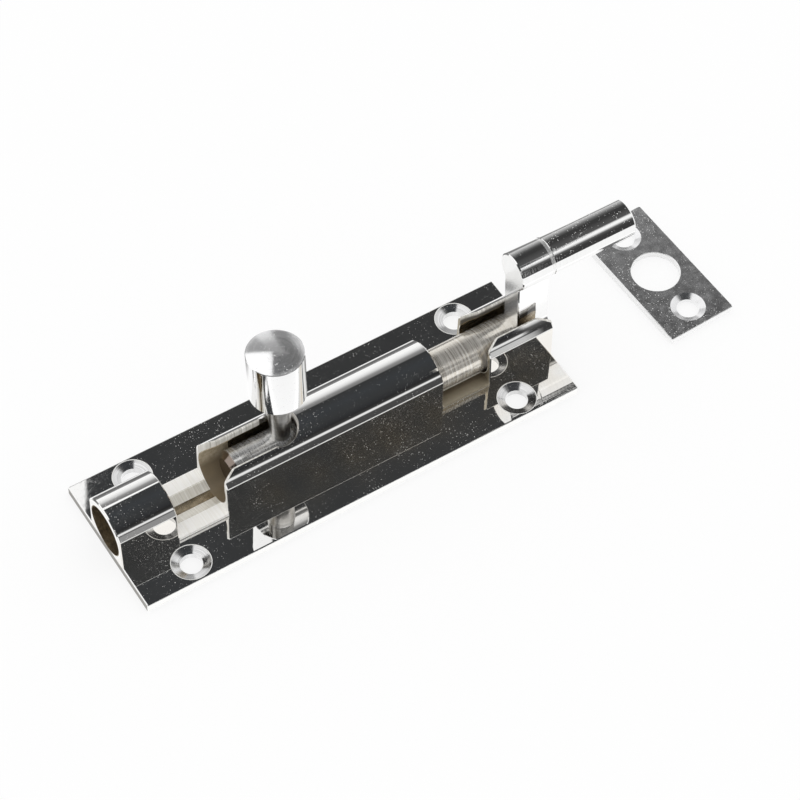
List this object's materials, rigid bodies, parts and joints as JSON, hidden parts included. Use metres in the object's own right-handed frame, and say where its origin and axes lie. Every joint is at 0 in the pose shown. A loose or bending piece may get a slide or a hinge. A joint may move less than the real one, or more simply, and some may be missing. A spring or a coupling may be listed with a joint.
{
  "type": "necked barrel bolt",
  "caption": "Surface door bolt: a rod slides in a slotted barrel on a flat backplate, and a crank carries its nose clear of the plate, with a knob and a loose keep plate.",
  "frame": {"origin": "centre of the backplate's back face, on the surface that the bolt is screwed to", "axes": "+X along the bolt the way it is thrown, +Z away from the door, +Y across the backplate"},
  "size_m": [0.1423, 0.0339, 0.0368],
  "materials": {
    "chromed_extrusion": "mirror chrome plate on extruded brass, with fine handling scratches and satin milled notches",
    "nickel_rod": "nickel-coloured turned rod, finely brushed across its length",
    "chromed_neck": "mirror chrome plate",
    "chromed_nose": "mirror chrome plate with fine handling specks",
    "chromed_knob": "polished chrome plate with faint turning rings on the top",
    "chromed_keep": "bright chrome plate, a little duller than the backplate, with fine scratches"
  },
  "bodies": {
    "plate": {"barrel_backplate": "chromed_extrusion", "keep_plate": "chromed_keep"},
    "shoot": {"shoot_rod": "nickel_rod", "neck": "chromed_neck", "nose": "chromed_nose", "knob": "chromed_knob"}
  },
  "joints": [
    {"name": "shoot_slide", "type": "slide", "parent": "plate", "child": "shoot", "axis": [1, 0, 0], "range_m": [-0.0203, 0.0006]}
  ]
}
